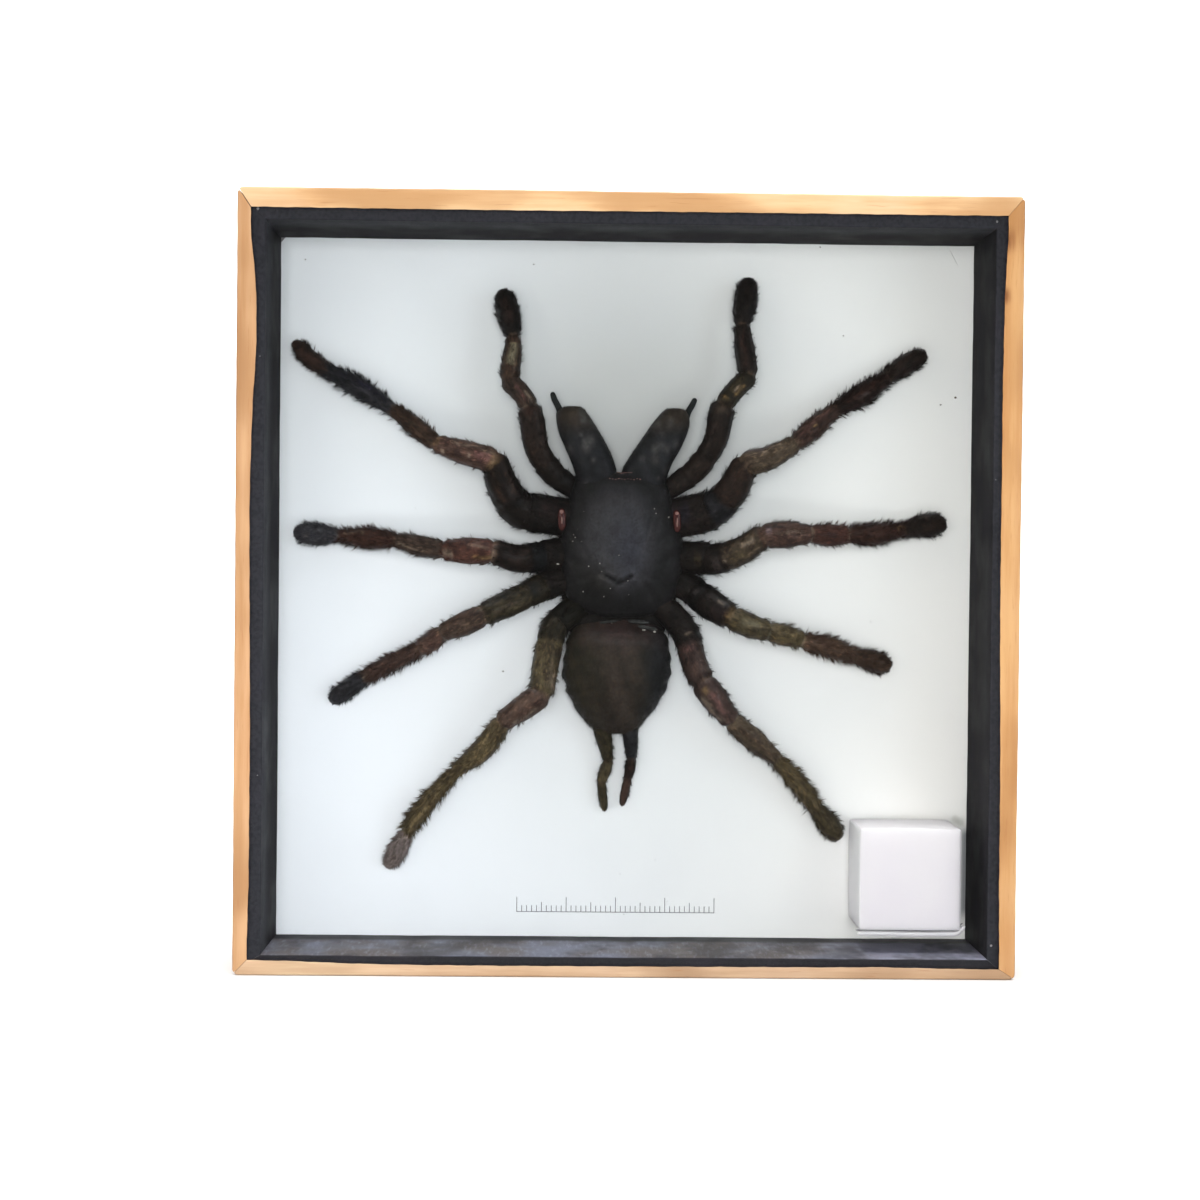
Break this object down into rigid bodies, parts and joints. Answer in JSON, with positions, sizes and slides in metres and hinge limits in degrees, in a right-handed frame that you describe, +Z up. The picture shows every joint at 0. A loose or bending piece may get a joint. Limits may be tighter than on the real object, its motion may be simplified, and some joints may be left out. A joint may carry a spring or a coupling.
{
  "type": "framed tarantula specimen",
  "caption": "Dried tarantula spread on a white board behind glass in a shallow square wooden box frame with black-lined walls and a small folded paper box in one corner.",
  "frame": {"origin": "middle of the underside of the bottom rail, where the frame stands upright", "axes": "+Z up towards the spider's head, -Y out through the glass front, +Y out of the back, +X to the right as seen through the glass"},
  "size_m": [0.15, 0.03, 0.15],
  "materials": {
    "wood": "clear satin varnish on pale yellow-brown wood",
    "black_card": "black coated card with a soft gloss",
    "glass": "clear polished sheet glass",
    "white_board": "matt white paper-faced board",
    "white_paper": "matt white folded paper",
    "brown_hardboard": "plain brown hardboard",
    "tinned_steel": "thin pressed steel with a dull plated surface",
    "spider_shell": "dried dark brown shell with short bristles",
    "spider_abdomen": "dried olive-black skin with a dense short coat"
  },
  "bodies": {
    "root": {"rail_left": "wood", "rail_right": "wood", "rail_bottom": "wood", "rail_top": "wood", "liner_left": "black_card", "liner_right": "black_card", "liner_bottom": "black_card", "liner_top": "black_card", "glass": "glass", "backing_board": "white_board", "back_panel": "brown_hardboard", "hanger": "tinned_steel", "tack_left": "tinned_steel", "tack_right": "tinned_steel", "paper_box": "white_paper", "carapace": "spider_shell", "abdomen": "spider_abdomen", "chelicera_left": "spider_shell", "chelicera_right": "spider_shell", "pedipalp_left": "spider_shell", "pedipalp_right": "spider_shell", "leg_1_left": "spider_shell", "leg_2_left": "spider_shell", "leg_3_left": "spider_shell", "leg_4_left": "spider_shell", "leg_1_right": "spider_shell", "leg_2_right": "spider_shell", "leg_3_right": "spider_shell", "leg_4_right": "spider_shell", "spinneret_left": "spider_abdomen", "spinneret_right": "spider_abdomen"}
  },
  "joints": []
}
